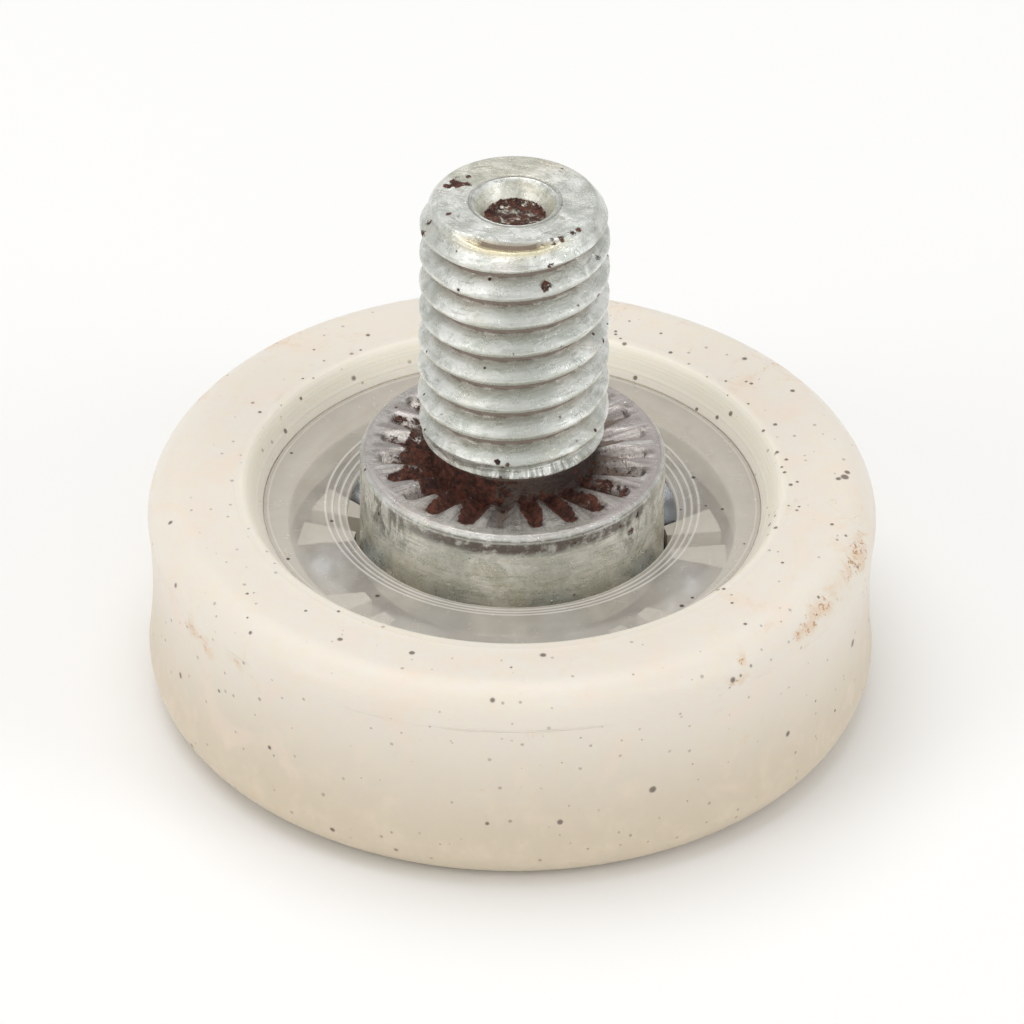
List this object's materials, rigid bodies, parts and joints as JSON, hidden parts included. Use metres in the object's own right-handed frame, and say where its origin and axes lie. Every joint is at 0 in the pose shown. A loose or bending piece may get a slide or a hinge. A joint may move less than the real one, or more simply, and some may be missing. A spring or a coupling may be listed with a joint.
{
  "type": "drawer roller",
  "caption": "Small moulded roller wheel on a ball bearing, carried by a threaded stud with a serrated collar.",
  "frame": {"origin": "on the axle, in the plane of the wheel's back face, on which the roller stands", "axes": "+Z along the axle, towards the tip of the threaded stud"},
  "size_m": [0.022, 0.022, 0.0172],
  "materials": {
    "zinc_steel": "zinc plated, worn, with rust in the serrations",
    "moulded_wheel": "satin moulded, slightly translucent, rust stained",
    "clear_shield": "smooth, translucent",
    "cage_plastic": "moulded",
    "ball_steel": "polished"
  },
  "bodies": {
    "axle": {"stud": "zinc_steel"},
    "roller": {"wheel": "moulded_wheel", "front_shield": "clear_shield", "rear_shield": "clear_shield"},
    "cage": {"ball_cage": "cage_plastic"},
    "ball_1": {"ball_1": "ball_steel"},
    "ball_2": {"ball_2": "ball_steel"},
    "ball_3": {"ball_3": "ball_steel"},
    "ball_4": {"ball_4": "ball_steel"},
    "ball_5": {"ball_5": "ball_steel"},
    "ball_6": {"ball_6": "ball_steel"},
    "ball_7": {"ball_7": "ball_steel"}
  },
  "joints": [
    {"name": "wheel_spin", "type": "hinge", "parent": "axle", "child": "roller", "pos_m": [0, 0, 0.0035], "axis": [0, 0, 1], "continuous": true},
    {"name": "cage_spin", "type": "hinge", "parent": "axle", "child": "cage", "pos_m": [0, 0, 0.0035], "axis": [0, 0, 1], "continuous": true},
    {"name": "ball_1_spin", "type": "hinge", "parent": "cage", "child": "ball_1", "pos_m": [0.00208, -0.00528, 0.0035], "axis": [0, 0, 1], "continuous": true},
    {"name": "ball_2_spin", "type": "hinge", "parent": "cage", "child": "ball_2", "pos_m": [0.00543, -0.00167, 0.0035], "axis": [0, 0, 1], "continuous": true},
    {"name": "ball_3_spin", "type": "hinge", "parent": "cage", "child": "ball_3", "pos_m": [0.00469, 0.00321, 0.0035], "axis": [0, 0, 1], "continuous": true},
    {"name": "ball_4_spin", "type": "hinge", "parent": "cage", "child": "ball_4", "pos_m": [0.00042, 0.00566, 0.0035], "axis": [0, 0, 1], "continuous": true},
    {"name": "ball_5_spin", "type": "hinge", "parent": "cage", "child": "ball_5", "pos_m": [-0.00417, 0.00386, 0.0035], "axis": [0, 0, 1], "continuous": true},
    {"name": "ball_6_spin", "type": "hinge", "parent": "cage", "child": "ball_6", "pos_m": [-0.00562, -0.00085, 0.0035], "axis": [0, 0, 1], "continuous": true},
    {"name": "ball_7_spin", "type": "hinge", "parent": "cage", "child": "ball_7", "pos_m": [-0.00283, -0.00492, 0.0035], "axis": [0, 0, 1], "continuous": true}
  ],
  "couplings": [
    {"joint": "cage_spin", "follows": "wheel_spin", "ratio": 0.6347},
    {"joint": "ball_1_spin", "follows": "wheel_spin", "ratio": 1.7559},
    {"joint": "ball_2_spin", "follows": "wheel_spin", "ratio": 1.7559},
    {"joint": "ball_3_spin", "follows": "wheel_spin", "ratio": 1.7559},
    {"joint": "ball_4_spin", "follows": "wheel_spin", "ratio": 1.7559},
    {"joint": "ball_5_spin", "follows": "wheel_spin", "ratio": 1.7559},
    {"joint": "ball_6_spin", "follows": "wheel_spin", "ratio": 1.7559},
    {"joint": "ball_7_spin", "follows": "wheel_spin", "ratio": 1.7559}
  ]
}
